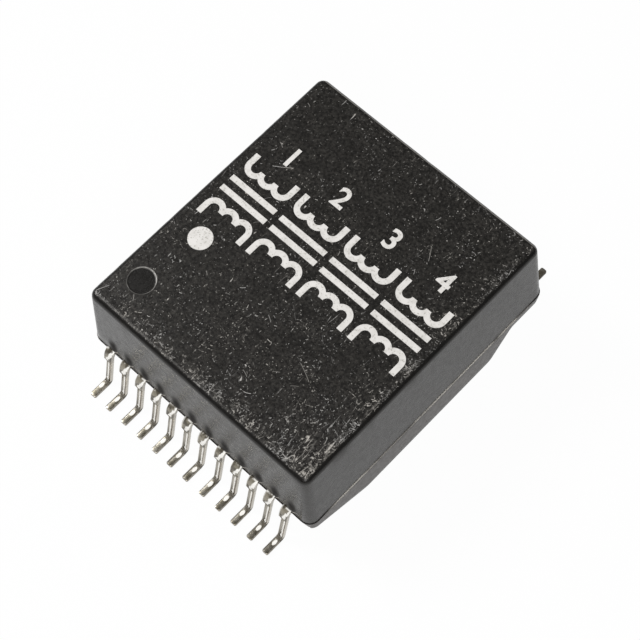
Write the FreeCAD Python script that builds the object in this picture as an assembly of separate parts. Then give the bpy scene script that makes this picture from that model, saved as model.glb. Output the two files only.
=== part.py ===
# Surface-mount pulse transformer module: a moulded body with 24 gull-wing leads,
# and four channels inside, each with one transformer toroid and one choke toroid.
# Millimetres. Origin on the board plane under the middle of the body, +Z up.
# X runs along the two lead rows, -Y is the row of pins 1 to 12, +Y of pins 13 to 24.
import FreeCAD, Part
import math
import os
from FreeCAD import Vector

os.makedirs("parts", exist_ok=True)

# Two rows of leads, which set the length of the body
leads_per_row = 12
lead_pitch = 1.0
end_margin = 1.25

# Moulded body, split by the parting plane of its mould
body_width = 15.24
standoff = 0.1
lower_height = 2.25
upper_height = 4.25
upper_draft = 0.3
lower_draft = 0.05
side_corner_radius = 0.5
top_corner_radius = 0.4
top_edge_radius = 0.3
mould_step = 0.04

# Underside of the body: a flange under each lead row and a keel between them
flange_depth = 0.8
flange_draft = 0.2
front_ramp_run = 3.6
back_flange_run = 2.1
back_ramp_run = 1.35
keel_edge_radius = 0.3

# Round pin 1 recess in the top and the white ink marks
recess_radius = 0.635
recess_depth = 0.05
recess_x_from_end = 1.61
recess_y_from_side = 2.27
ink_thickness = 0.03
dot_radius = 0.57
dot_x_from_end = 2.05
dot_y_from_side = 5.4
symbol_stroke = 0.28
symbol_hump_radius = 0.4
symbol_tail = 0.55
symbol_bar_gap = 0.35
symbol_coil_gap = 0.35
dot_to_symbols_gap = 0.305

# Leads, stamped and bent from flat strip
lead_thickness = 0.2
lead_width = 0.32
shoulder_extra = 0.18
shoulder_drop = 0.15
shoulder_reach = 0.1
lead_slant = 14.0
upper_bend_radius = 0.5
lower_bend_radius = 0.25
foot_length = 1.05
foot_tip_radius = 0.09
lead_embedded = 1.0

# Toroids and their windings, inside the body
toroid_gap = 0.4
toroid_hole_radius = 0.38
transformer_core_height = 2.1
choke_core_height = 1.1
winding_build = 0.15
winding_gap_angle = 24.0
transformer_below_parting = 1.0
choke_above_leads = 0.35
toroid_row_gap = 0.8
wire_size = 0.14

# Sizes that follow from the ones above
body_length = (leads_per_row - 1) * lead_pitch + 2 * end_margin
half_length = body_length / 2
half_width = body_width / 2
parting_z = standoff + lower_height
top_z = parting_z + upper_height
flange_z = parting_z - flange_depth
dot_y = -half_width + dot_y_from_side
shoulder_width = lead_width + shoulder_extra
channel_wires = (-lead_pitch, 0, lead_pitch)
leads_per_channel = len(channel_wires)
channels = leads_per_row // leads_per_channel
channel_pitch = leads_per_channel * lead_pitch
wound_radius = (channel_pitch - toroid_gap) / 2
core_outer_radius = wound_radius - winding_build
core_inner_radius = toroid_hole_radius + winding_build
lead_end_y = half_width - lead_embedded
transformer_y = -(toroid_row_gap / 2 + wound_radius)
choke_y = toroid_row_gap / 2 + wound_radius
transformer_base_z = parting_z - transformer_below_parting
choke_base_z = parting_z + lead_thickness / 2 + choke_above_leads
wire_z = parting_z


def save(shape, node):
    """Write one piece to its own file."""
    shape.exportStep("parts/" + node + ".step")


def box_between(low, high):
    """Box from its lowest to its highest corner."""
    size = high.sub(low)
    return Part.makeBox(size.x, size.y, size.z, low)


def rounded_plan(inset, radius, z):
    """Closed outline of the body at one height, drawn in by the inset."""
    x = half_length - inset
    y = half_width - inset
    bend = radius * (1 - math.sqrt(0.5))
    points = [
        (x, -y + radius), (x, y - radius), (x - bend, y - bend), (x - radius, y),
        (-x + radius, y), (-x + bend, y - bend), (-x, y - radius),
        (-x, -y + radius), (-x + bend, -y + bend), (-x + radius, -y),
        (x - radius, -y), (x - bend, -y + bend),
    ]
    corner = [Vector(px, py, z) for px, py in points]
    edges = [
        Part.LineSegment(corner[0], corner[1]).toShape(),
        Part.Arc(corner[1], corner[2], corner[3]).toShape(),
        Part.LineSegment(corner[3], corner[4]).toShape(),
        Part.Arc(corner[4], corner[5], corner[6]).toShape(),
        Part.LineSegment(corner[6], corner[7]).toShape(),
        Part.Arc(corner[7], corner[8], corner[9]).toShape(),
        Part.LineSegment(corner[9], corner[10]).toShape(),
        Part.Arc(corner[10], corner[11], corner[0]).toShape(),
    ]
    return Part.Wire(edges)


def upper_half():
    """Upper half of the moulding: drafted sides and a rounded top edge."""
    base = rounded_plan(0, side_corner_radius, parting_z)
    top = rounded_plan(upper_draft, top_corner_radius, top_z)
    block = Part.makeLoft([base, top], True, True)
    rim = [edge for edge in block.Edges if edge.BoundBox.ZMin > top_z - 1e-6]
    return block.makeFillet(min(top_edge_radius, top_corner_radius * 0.9), rim)


def keel_profile():
    """End view of the lower half: drafted flanges, ramps and the keel between them."""
    beyond = 1.0
    outline = [
        (-half_width - mould_step, parting_z), (-half_width + flange_draft, flange_z),
        (-half_width + front_ramp_run, standoff),
        (half_width - back_flange_run - back_ramp_run, standoff),
        (half_width - back_flange_run, flange_z),
        (half_width - flange_draft, flange_z), (half_width + mould_step, parting_z),
    ]
    points = [Vector(-half_length - beyond, y, z) for y, z in outline]
    face = Part.Face(Part.makePolygon(points + [points[0]]))
    prism = face.extrude(Vector(body_length + 2 * beyond, 0, 0))
    keel_edges = []
    for edge in prism.Edges:
        middle = edge.BoundBox.Center
        along_x = edge.BoundBox.XLength > body_length
        inside = abs(middle.y) < half_width - 0.5
        if along_x and inside:
            keel_edges.append(edge)
    return prism.makeFillet(keel_edge_radius, keel_edges)


def lower_half():
    """Lower half, a mould step larger all round, with the keel under it."""
    base = rounded_plan(-mould_step, side_corner_radius + mould_step, parting_z)
    foot = rounded_plan(lower_draft, side_corner_radius - lower_draft, standoff)
    block = Part.makeLoft([base, foot], True, True)
    return block.common(keel_profile())


def lead_profile():
    """Side view of one lead in the Y Z plane, with the body side at y = 0 and outwards +y."""
    slant = math.radians(lead_slant)
    half = lead_thickness / 2
    turn = math.pi / 2 - slant
    heel = shoulder_reach + (parting_z - half) * math.tan(slant)
    foot_end = heel + foot_length
    upper_run = upper_bend_radius * math.tan(turn / 2)
    lower_run = lower_bend_radius * math.tan(turn / 2)
    upper_centre = (shoulder_reach - upper_run, parting_z - upper_bend_radius)
    lower_centre = (heel + lower_run, half + lower_bend_radius)

    def on_upper(radius, share):
        angle = math.pi / 2 - turn * share
        y = upper_centre[0] + radius * math.cos(angle)
        z = upper_centre[1] + radius * math.sin(angle)
        return Vector(0, y, z)

    def on_lower(radius, share):
        angle = math.pi + slant + turn * share
        y = lower_centre[0] + radius * math.cos(angle)
        z = lower_centre[1] + radius * math.sin(angle)
        return Vector(0, y, z)

    outer = upper_bend_radius + half
    inner = upper_bend_radius - half
    near = lower_bend_radius - half
    far = lower_bend_radius + half
    start_top = Vector(0, -lead_embedded, parting_z + half)
    start_under = Vector(0, -lead_embedded, parting_z - half)
    end_top = Vector(0, foot_end, lead_thickness)
    end_under = Vector(0, foot_end, 0)
    edges = [
        Part.LineSegment(start_top, on_upper(outer, 0)).toShape(),
        Part.Arc(on_upper(outer, 0), on_upper(outer, 0.5), on_upper(outer, 1)).toShape(),
        Part.LineSegment(on_upper(outer, 1), on_lower(near, 0)).toShape(),
        Part.Arc(on_lower(near, 0), on_lower(near, 0.5), on_lower(near, 1)).toShape(),
        Part.LineSegment(on_lower(near, 1), end_top).toShape(),
        Part.LineSegment(end_top, end_under).toShape(),
        Part.LineSegment(end_under, on_lower(far, 1)).toShape(),
        Part.Arc(on_lower(far, 1), on_lower(far, 0.5), on_lower(far, 0)).toShape(),
        Part.LineSegment(on_lower(far, 0), on_upper(inner, 1)).toShape(),
        Part.Arc(on_upper(inner, 1), on_upper(inner, 0.5), on_upper(inner, 0)).toShape(),
        Part.LineSegment(on_upper(inner, 0), start_under).toShape(),
        Part.LineSegment(start_under, start_top).toShape(),
    ]
    shoulder_end_z = on_upper(outer, 1).z - shoulder_drop
    return Part.Face(Part.Wire(edges)), shoulder_end_z, foot_end


def lead_at_origin():
    """One lead of the front row at x = 0. Its shoulder is wider on the left side only."""
    face, shoulder_end_z, foot_end = lead_profile()
    right = lead_width / 2
    strip = face.translated(Vector(right - shoulder_width, 0, 0))
    strip = strip.extrude(Vector(shoulder_width, 0, 0))
    trim_low = Vector(right - shoulder_width - 1, 0, -1)
    trim_high = Vector(-right, foot_end + 1, shoulder_end_z)
    strip = strip.cut(box_between(trim_low, trim_high))
    tip = []
    for edge in strip.Edges:
        upright = edge.BoundBox.ZLength > lead_thickness * 0.9
        at_end = edge.BoundBox.YMin > foot_end - 1e-6
        if upright and at_end and edge.BoundBox.XLength < 1e-6:
            tip.append(edge)
    strip = strip.makeFillet(foot_tip_radius, tip)
    strip.rotate(Vector(0, 0, 0), Vector(0, 0, 1), 180)
    mirrored = strip.mirror(Vector(0, 0, 0), Vector(1, 0, 0))
    mirrored.translate(Vector(0, -half_width, 0))
    return mirrored


def lead_x(number):
    """Middle of a lead of the front row, counted from 0. A half counts between two leads."""
    return (number - (leads_per_row - 1) / 2) * lead_pitch


def all_leads():
    """Leads 1 to 12 along the front, then 13 to 24 back along the other side."""
    first = lead_at_origin()
    leads = []
    for number in range(leads_per_row):
        leads.append(first.translated(Vector(lead_x(number), 0, 0)))
    for lead in leads[:leads_per_row]:
        turned = lead.copy()
        turned.rotate(Vector(0, 0, 0), Vector(0, 0, 1), 180)
        leads.append(turned)
    return leads


def ring(outer, inner, height, centre):
    """Plain ring with its axis upright, standing on the centre point."""
    disc = Part.makeCylinder(outer, height, centre)
    return disc.cut(Part.makeCylinder(inner, height, centre))


def wound_sector(core_height, centre, start_angle, sweep):
    """Winding wrapped round part of a ring core, as one sleeve over that part."""
    low = centre.sub(Vector(0, 0, winding_build))
    full_height = core_height + 2 * winding_build
    up = Vector(0, 0, 1)
    outer = Part.makeCylinder(wound_radius, full_height, low, up, sweep)
    hole = Part.makeCylinder(toroid_hole_radius, full_height, low, up, sweep)
    sleeve = outer.cut(hole)
    sleeve.rotate(centre, up, start_angle)
    return sleeve.cut(ring(core_outer_radius, core_inner_radius, core_height, centre))


def wire(low_y, high_y, x, z):
    """Straight run of magnet wire along Y, drawn square."""
    half = wire_size / 2
    return box_between(Vector(x - half, low_y, z - half), Vector(x + half, high_y, z + half))


def channel_pieces(x):
    """The two cores and four windings of one channel, with the wires to their leads."""
    sweep = 180 - winding_gap_angle
    side = channel_wires[-1]
    front_centre = Vector(x, transformer_y, transformer_base_z + winding_build)
    back_centre = Vector(x, choke_y, choke_base_z + winding_build)
    front_core = ring(core_outer_radius, core_inner_radius, transformer_core_height, front_centre)
    back_core = ring(core_outer_radius, core_inner_radius, choke_core_height, back_centre)
    margin = winding_gap_angle / 2
    primary = wound_sector(transformer_core_height, front_centre, 180 + margin, sweep)
    secondary = wound_sector(transformer_core_height, front_centre, margin, sweep)
    choke_left = wound_sector(choke_core_height, back_centre, 90 + margin, sweep)
    choke_right = wound_sector(choke_core_height, back_centre, -90 + margin, sweep)

    bite = winding_build * 0.5
    for offset in channel_wires:
        depth = math.sqrt(wound_radius ** 2 - offset ** 2)
        run = wire(-lead_end_y, transformer_y - depth + bite, x + offset, wire_z)
        primary = primary.fuse(run)

    tap = wire(transformer_y + wound_radius - bite, lead_end_y, x, wire_z)
    secondary = secondary.fuse(tap)
    wound_disc = Part.makeCylinder(wound_radius, transformer_core_height + 2 * winding_build,
                                   front_centre.sub(Vector(0, 0, winding_build)))
    half = wire_size / 2
    windings = []
    for winding, offset in ((choke_left, -side), (choke_right, side)):
        across = wire(transformer_y, lead_end_y, x + offset, wire_z)
        riser_low = Vector(x + offset - half, choke_y - half, wire_z - half)
        riser_high = Vector(x + offset + half, choke_y + half, choke_base_z + bite)
        riser = box_between(riser_low, riser_high)
        windings.append(winding.fuse(across.cut(wound_disc)).fuse(riser))
    pieces = {
        "transformer_core": front_core,
        "primary_winding": primary.removeSplitter(),
        "secondary_winding": secondary.removeSplitter(),
        "choke_core": back_core,
        "choke_winding_left": windings[0].removeSplitter(),
        "choke_winding_right": windings[1].removeSplitter(),
    }
    return pieces


def channel_x(number):
    """Middle of one channel, above the middle one of its three leads."""
    return lead_x(number * leads_per_channel + (leads_per_channel - 1) / 2)


def coil_mark(x, y, facing):
    """Ink outline of a coil: three humps towards facing, and a tail at each end the other way."""
    outer = symbol_hump_radius + symbol_stroke / 2
    inner = symbol_hump_radius - symbol_stroke / 2
    up = Vector(0, 0, 1)
    marks = []
    for hump in (-1, 0, 1):
        centre = Vector(x + hump * 2 * symbol_hump_radius, y, top_z)
        big = Part.makeCylinder(outer, ink_thickness, centre, up, 180)
        small = Part.makeCylinder(inner, ink_thickness, centre, up, 180)
        arch = big.cut(small)
        if facing < 0:
            arch.rotate(centre, up, 180)
        marks.append(arch)
    reach = 3 * symbol_hump_radius
    low_y = min(y, y - facing * symbol_tail)
    high_y = max(y, y - facing * symbol_tail)
    for end in (-reach, reach):
        low = Vector(x + end - symbol_stroke / 2, low_y, top_z)
        high = Vector(x + end + symbol_stroke / 2, high_y, top_z + ink_thickness)
        marks.append(box_between(low, high))
    return marks[0].fuse(marks[1:]).removeSplitter()


def winding_symbols():
    """White ink transformer symbols, one over each channel: two coils with two bars between."""
    marks = []
    bar_half = 3 * symbol_hump_radius + symbol_stroke / 2
    bar_y = (symbol_bar_gap + symbol_stroke) / 2
    coil_top = symbol_hump_radius + symbol_stroke / 2
    coil_y = bar_y + symbol_stroke / 2 + symbol_coil_gap + coil_top
    half_height = coil_y + symbol_tail
    middle_y = dot_y + dot_radius + dot_to_symbols_gap + half_height
    for number in range(channels):
        x = channel_x(number)
        for sign in (-1, 1):
            low = Vector(x - bar_half, middle_y + sign * bar_y - symbol_stroke / 2, top_z)
            high = Vector(x + bar_half, middle_y + sign * bar_y + symbol_stroke / 2,
                          top_z + ink_thickness)
            marks.append(box_between(low, high))
            marks.append(coil_mark(x, middle_y + sign * coil_y, -sign))
    return Part.makeCompound(marks)


def pin_1_dot():
    """Round white ink dot beside pin 1's corner."""
    centre = Vector(-half_length + dot_x_from_end, dot_y, top_z)
    return Part.makeCylinder(dot_radius, ink_thickness, centre)


def pin_1_recess():
    """Shallow round recess moulded into the top over pin 1."""
    x = -half_length + recess_x_from_end
    y = -half_width + recess_y_from_side
    return Part.makeCylinder(recess_radius, recess_depth, Vector(x, y, top_z - recess_depth))


leads = all_leads()
inner = {}
for number in range(channels):
    for name, piece in channel_pieces(channel_x(number)).items():
        inner[name + "_" + str(number + 1)] = piece

body = upper_half().fuse(lower_half()).removeSplitter()
body = body.cut(pin_1_recess())
body = body.cut(Part.makeCompound(leads))
body = body.cut(Part.makeCompound(list(inner.values())))

save(body, "moulded_body")
for number, lead in enumerate(leads):
    save(lead, "lead_" + str(number + 1).zfill(2))
for name, piece in inner.items():
    save(piece, name)
save(pin_1_dot(), "pin_1_dot")
save(winding_symbols(), "winding_symbols")
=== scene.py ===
import math

import bmesh
import bpy
from mathutils import Matrix, Vector, noise
from mathutils.geometry import tessellate_polygon


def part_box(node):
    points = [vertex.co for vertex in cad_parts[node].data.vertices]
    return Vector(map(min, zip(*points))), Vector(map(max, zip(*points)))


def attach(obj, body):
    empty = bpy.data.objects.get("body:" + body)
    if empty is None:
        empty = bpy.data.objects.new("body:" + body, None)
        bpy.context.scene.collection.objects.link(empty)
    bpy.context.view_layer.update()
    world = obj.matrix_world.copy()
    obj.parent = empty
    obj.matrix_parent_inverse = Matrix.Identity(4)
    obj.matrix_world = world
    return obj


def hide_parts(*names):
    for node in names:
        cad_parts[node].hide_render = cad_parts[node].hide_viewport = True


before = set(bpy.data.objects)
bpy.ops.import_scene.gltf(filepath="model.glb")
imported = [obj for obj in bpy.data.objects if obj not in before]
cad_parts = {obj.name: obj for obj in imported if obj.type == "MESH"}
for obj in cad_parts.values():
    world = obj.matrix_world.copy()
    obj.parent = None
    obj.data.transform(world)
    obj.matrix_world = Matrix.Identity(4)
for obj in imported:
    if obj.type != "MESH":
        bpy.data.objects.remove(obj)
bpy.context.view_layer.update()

MM = 0.001

# Sizes of the moulding, in mm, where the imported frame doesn't give them. Each of the two sorts of
# chips has a scale per mm and a share, and the sharp angle is in degrees.
MOULD_STEP = 0.04
LOWER_HEIGHT = 2.25
UPPER_DRAFT = 0.3
LOWER_DRAFT = 0.05
SIDE_CORNER_RADIUS = 0.5
TOP_CORNER_RADIUS = 0.4
TOP_EDGE_RADIUS = 0.3
FLANGE_DEPTH = 0.8
FLANGE_DRAFT = 0.2
FRONT_RAMP_RUN = 3.6
BACK_FLANGE_RUN = 2.1
BACK_RAMP_RUN = 1.35
KEEL_FOLD = 0.12
BOTTOM_EDGE_RADIUS = 0.05
PARTING_GROOVE = 0.03
RECESS_RADIUS = 0.635
RECESS_DEPTH = 0.05
RECESS_X_FROM_END = 1.61
RECESS_Y_FROM_SIDE = 2.27
EDGE_GUARD = 0.03
CHIP_DEPTH = 0.01
CHIP_START = 0.1
CHIP_SPAN = 0.4
CHIP_SCALES = ((1.3, 0.7), (4.1, 0.3))
SHARP_ANGLE = 40.0

# Rings of the step at the parting line: height over the line, and inset
PARTING_RINGS = ((-0.02, 0.005 - MOULD_STEP), (-0.004, 0.008 - MOULD_STEP), (0.0, 0.02 - MOULD_STEP),
                 (0.0, 0.02), (0.015, 0.025))

# Rings of the recess from its rim inwards: what is added to its radius, and the height over the top
RECESS_RINGS = ((0.05, 0.0), (0.02, 0.0), (0.006, -0.006), (0.0, -0.02), (-0.004, 0.006 - RECESS_DEPTH),
                (-0.012, -RECESS_DEPTH), (-0.06, -RECESS_DEPTH))

# Wear marks, painted highlights and painted reflections on the moulding, in mm. A band gives how
# far from its middle a line ends, and how far it is full. TICK_BAND and SMUDGE_PLACE are shares
# of a pitch.
EDGE_RUB_INSET = 0.02
EDGE_RUB_BAND = (0.08, 0.015)
BACK_HIGHLIGHT_OUTSET = 0.16
BACK_HIGHLIGHT_BAND = (0.04, 0.015)
RIM_HIGHLIGHT_BAND = (0.03, 0.008)
PARTING_HIGHLIGHT_BAND = (0.045, 0.02)
TICK_HEIGHT = 0.4
TICK_LEAN = 0.8
TICK_BAND = (0.03, 0.008)
SMUDGE_PLACE = 0.67

# Worn edges of the top: the axis across the edge, its side, the width of the wear and its strength
WORN_EDGES = (("Y", -1, 1.0, 1.0), ("X", 1, 0.8, 1.0), ("X", -1, 1.0, 0.5), ("Y", 1, 1.2, 0.5))

# Curly scratches: where they lie, stretch along X and Y, scale per mm, width in mm, the least and
# most share that is kept, and a seed. Their grain, which breaks them up, is a scale per mm too.
HAIRLINE_GRAIN = 11.0
HAIRLINE_LAYERS = (
    ("whole", 1.0, 1.0, 4.2, 0.026, 0.14, 0.62, 1),
    ("whole", 1.4, 0.6, 3.0, 0.026, 0.1, 0.62, 2),
    ("whole", 0.7, 1.2, 2.4, 0.024, 0.06, 0.55, 3),
    ("edges", 1.3, 0.8, 3.4, 0.025, 0.0, 1.0, 5),
    ("edges", 0.9, 1.0, 4.6, 0.025, 0.0, 1.0, 6),
    ("corner", 1.7, 0.35, 1.5, 0.026, 0.06, 0.8, 4),
    ("corner", 1.4, 0.6, 2.6, 0.026, 0.06, 0.8, 8),
    ("corner", 1.6, 0.3, 2.4, 0.026, 0.06, 0.8, 9),
)

# Short scratches: cell, length, width and bow in mm, the least and most share of cells, and a seed
SCRATCH_LAYERS = (
    (0.24, 0.15, 0.024, 0.16, 0.015, 0.24, 1),
    (0.5, 0.4, 0.024, 0.6, 0.01, 0.2, 2),
    (1.6, 1.2, 0.022, 5.0, 0.0, 0.3, 3),
)

# Pits: cell and radius in mm, the least and most share of cells, and a seed
PIT_LAYERS = ((0.11, 0.022, 0.05, 0.4, 6), (0.35, 0.03, 0.02, 0.14, 7))

# How finely the moulding is divided
FRONT_STEPS = 96
SIDE_STEPS = 110
CORNER_STEPS = 8
EDGE_STEPS = 7
WALL_STEPS = 6
RECESS_STEPS = 72

# Sizes of the leads, in mm, with their slant in degrees and their turn in radians
LEAD_WIDTH = 0.32
LEAD_THICKNESS = 0.2
LEAD_EDGE_RADIUS = 0.045
SHOULDER_EXTRA = 0.18
SHOULDER_DROP = 0.32
SHOULDER_REACH = 0.1
LEAD_SLANT = 14.0
UPPER_BEND_RADIUS = 0.5
LOWER_BEND_RADIUS = 0.25
LEAD_EMBEDDED = 1.0
FOOT_TIP_RADIUS = 0.035
TIP_CLEARANCE = 0.002
LEADS_PER_ROW = 12
LEAD_PITCH = 1.0
LEAD_STEP = 0.045
BEND_STEPS = 14
LEAD_EDGE_STEPS = 4
SHOULDER_STEP = 0.01
LEAD_TURN = 0.004

# Painted light and shade on the leads, in mm. A painted stripe or line gives its place across the
# lead and its band. A painted highlight gives its middle and its reach, up or along the lead and
# then across it.
MARK_WOBBLE = 0.02
LEFT_SHADE_STRIPE = (-0.075, 0.09, 0.05)
RIGHT_SHADE_STRIPE = (0.125, 0.06, 0.025)
LEG_HIGHLIGHT_LINE = (0.045, 0.05, 0.015)
FOLD_SHADE_BAND = (0.05, 0.02)
HEEL_FOLD_HEIGHT = 0.3
FOOT_HIGHLIGHT_FROM_HEEL = 0.42
FOOT_HIGHLIGHT_REACH = (0.17, 0.09)
HEEL_HIGHLIGHT = (0.42, 0.03)
HEEL_HIGHLIGHT_REACH = (0.1, 0.08)

# Plain channel numbers, in mm
NUMBER_HEIGHT = 1.0
NUMBER_Y = 3.35
INK_THICKNESS = 0.03
CHANNELS = 4
CHANNEL_PITCH = 3.0
CAPITAL_SHARE = 0.7
STROKE_EXTRA = 0.03

# The camera fitted to the photograph, with angles in degrees and lengths in mm
CAMERA_AIM = (0.664, -0.540, 3.3)
CAMERA_AZIMUTH = 48.63
CAMERA_ELEVATION = 65.52
CAMERA_ROLL = 5.63
CAMERA_DISTANCE = 79.88
CAMERA_LENS = 101.47

# Soft lights: name, azimuth and elevation in degrees, distance and size in mm, power in watts
LIGHTS = (("key", -75, 50, 180, 60, 0.22), ("front_fill", 45, 48, 180, 90, 0.155))

# The floor's half size in metres, and how white it and the surroundings are made
FLOOR_HALF = 2.0
FLOOR_SEEN_WHITE = 0.97
FLOOR_MIRRORED_WHITE = 0.7
SURROUNDINGS = 0.12

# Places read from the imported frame, in mm
body_low, body_high = [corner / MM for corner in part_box("moulded_body")]
half_length = body_high.x - MOULD_STEP
half_width = body_high.y - MOULD_STEP
bottom_z = body_low.z
top_z = body_high.z
parting_z = bottom_z + LOWER_HEIGHT
flange_z = parting_z - FLANGE_DEPTH
recess_x = -half_length + RECESS_X_FROM_END
recess_y = -half_width + RECESS_Y_FROM_SIDE
foot_tip_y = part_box("lead_01")[0].y / MM + TIP_CLEARANCE

# Where the drafted wall turns into the round top edge, and the round edge into the flat top
upper_height = top_z - parting_z
wall_slope = math.atan2(UPPER_DRAFT, upper_height)
meet_z = top_z - TOP_EDGE_RADIUS * (1 - math.sin(wall_slope))
meet_inset = UPPER_DRAFT * (meet_z - parting_z) / upper_height
flat_inset = meet_inset + TOP_EDGE_RADIUS * math.cos(wall_slope)

# How far out each lead's shoulder and heel lie, and how low the wide shoulder ends
leg_slope = math.radians(LEAD_SLANT)
shoulder_y = half_width + SHOULDER_REACH
heel_y = shoulder_y + (parting_z - LEAD_THICKNESS / 2) * math.tan(leg_slope)
outer_bend = UPPER_BEND_RADIUS + LEAD_THICKNESS / 2
shoulder_end = parting_z - UPPER_BEND_RADIUS + outer_bend * math.sin(leg_slope) - SHOULDER_DROP

# The sizes that the node tree of the leads is given, in mm
lead_sizes = {
    "Strip width": LEAD_WIDTH,
    "Strip thickness": LEAD_THICKNESS,
    "Edge radius": LEAD_EDGE_RADIUS,
    "Upper bend radius": UPPER_BEND_RADIUS,
    "Lower bend radius": LOWER_BEND_RADIUS,
    "Shoulder extra": SHOULDER_EXTRA,
    "Shoulder end height": shoulder_end,
    "Tip y": foot_tip_y,
    "Tip radius": FOOT_TIP_RADIUS,
    "Pitch": LEAD_PITCH,
    "Step": LEAD_STEP,
}


def colour(code):
    """An sRGB hex colour as linear RGBA."""
    channels = [int(code[start:start + 2], 16) / 255 for start in (1, 3, 5)]
    linear = [c / 12.92 if c <= 0.04045 else ((c + 0.055) / 1.055) ** 2.4 for c in channels]
    return (*linear, 1.0)


def fill(node, links):
    """Fills a node's inputs, found by name or by place among the inputs in use, with a value,
    a hex colour, an output, or another node's first output."""
    usable = [socket for socket in node.inputs if socket.enabled]
    for key, source in links.items():
        by_name = [entry for entry in usable if entry.name == key]
        socket = by_name[0] if by_name else usable[key]
        if isinstance(source, str):
            source = colour(source)
        if isinstance(source, bpy.types.Node):
            source = next(output for output in source.outputs if output.enabled)
        if isinstance(source, bpy.types.NodeSocket):
            node.id_data.links.new(source, socket)
        else:
            socket.default_value = source


def add(tree, kind, *values, **settings):
    """Adds one node with these properties. The values fill its inputs in their order, or by name
    when they come as a dict. A kind in capitals is an operation of the math node, and a kind
    that names no family is a shader node."""
    if kind.isupper():
        kind, settings = "Math", {"operation": kind}
    node = tree.nodes.new(kind if "Node" in kind else "ShaderNode" + kind)
    for name, value in settings.items():
        setattr(node, name, value)
    by_name = values and isinstance(values[0], dict)
    fill(node, values[0] if by_name else dict(enumerate(values)))
    return node


def new_material(name):
    """An empty material with a surface shader. Returns the material, its tree and the shader."""
    material = bpy.data.materials.new(name)
    material.use_nodes = True
    tree = material.node_tree
    tree.nodes.clear()
    shader = add(tree, "BsdfPrincipled")
    add(tree, "OutputMaterial", {"Surface": shader})
    return material, tree, shader


def place_in_mm(tree):
    """The point on the piece, in millimetres."""
    place = add(tree, "TexCoord").outputs["Object"]
    return add(tree, "VectorMath", {"Vector": place, "Scale": 1 / MM}, operation="SCALE")


def ramp(value, start, end, low=0.0, high=1.0):
    """A soft step: low where the value is at start, high where it is at end. Like the helpers
    below, it adds its nodes to the tree of its first value."""
    links = {"Value": value, "From Min": start, "From Max": end, "To Min": low, "To Max": high}
    if start > end:
        links.update({"From Min": end, "From Max": start, "To Min": high, "To Max": low})
    return add(value.id_data, "MapRange", links, interpolation_type="SMOOTHSTEP")


def blotches(place, grain, start, end, low=0.0, high=1.0):
    """Soft random blotches, low where a noise is at start and high where it is at end. Its grain
    is a scale per mm, a detail and a roughness."""
    scale, detail, roughness = grain
    links = {"Vector": place, "Scale": scale, "Detail": detail, "Roughness": roughness}
    return ramp(add(place.id_data, "TexNoise", links), start, end, low, high)


def band(value, middle, outer, inner):
    """A soft band round one value: 1 within inner of its middle, and 0 beyond outer."""
    offset = add(value.id_data, "SUBTRACT", value, middle)
    return ramp(add(value.id_data, "ABSOLUTE", offset), outer, inner)


def patch(along, across, middle, reach, inner=0.7):
    """A soft oval patch, 1 in its middle and 0 just past its reach. Middle and reach are two
    values each, and inner is the share of the reach where the patch starts to fade."""
    tree = along.id_data
    flat = add(tree, "CombineXYZ", {"X": along, "Y": across})
    away = add(tree, "VectorMath", flat, (*middle, 0.0), operation="SUBTRACT")
    scaled = add(tree, "VectorMath", away, (*reach, 1.0), operation="DIVIDE")
    distance = add(tree, "VectorMath", scaled, operation="LENGTH")
    return ramp(distance.outputs["Value"], 1.1, inner)


def combine(operation, values):
    """One value worked out from several by the same operation, one after the other."""
    result = values[0]
    for value in values[1:]:
        result = add(result.id_data, operation, result, value)
    return result


def all_of(*masks):
    """Where all the masks show: their product."""
    return combine("MULTIPLY", masks)


def any_of(*masks):
    """Where any of the masks shows: the strongest of them."""
    return combine("MAXIMUM", masks)


def paint(mask, under, over):
    """Lays the second colour over the first one where a mask shows it."""
    mixed = add(mask.id_data, "Mix", {"Factor": mask, "A": under, "B": over}, data_type="RGBA")
    return mixed.outputs[2]


def random_cells(tree, flat_place, cell, seed):
    """Random cells over the flat top: the place within a cell, and three random numbers."""
    shift = (seed * 7.31, seed * 3.17, 0.0)
    shifted = add(tree, "VectorMath", flat_place, shift, operation="ADD")
    cells = add(tree, "TexVoronoi", {"Vector": shifted, "Scale": 1 / cell},
                voronoi_dimensions="2D", feature="F1")
    within = add(tree, "VectorMath", shifted, cells.outputs["Position"], operation="SUBTRACT")
    dice = add(tree, "SeparateColor", cells.outputs["Color"])
    return within, dice.outputs


def scratches(tree, flat_place, cell, length, width, bow, share, seed):
    """Mask of short scratches, at most one in each random cell, each turned its own way and
    bowed like part of a circle. Sizes are in mm, and share is how many cells hold one."""
    within, dice = random_cells(tree, flat_place, cell, seed)
    angle = add(tree, "MULTIPLY", dice[0], 2 * math.pi)
    turned = add(tree, "VectorRotate", {"Vector": within, "Angle": angle}, rotation_type="Z_AXIS")
    radius = add(tree, "MapRange", {"Value": dice[1], "To Min": bow * 0.6, "To Max": bow * 2.0})
    centre = add(tree, "CombineXYZ", {"Y": radius})
    from_centre = add(tree, "VectorMath", turned, centre, operation="DISTANCE")
    line = band(from_centre.outputs["Value"], radius, width * 0.8, width * 0.3)
    along = add(tree, "ABSOLUTE", add(tree, "SeparateXYZ", turned).outputs["X"])
    reach = add(tree, "MapRange", {"Value": dice[1], "To Min": length * 0.2, "To Max": length * 0.5})
    inside = add(tree, "LESS_THAN", along, reach)
    held = add(tree, "LESS_THAN", dice[2], share)
    depth = add(tree, "POWER", dice[0], 2.0)
    strength = add(tree, "MapRange", {"Value": depth, "To Min": 0.14, "To Max": 0.8})
    return all_of(line, inside, held, strength)


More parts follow.
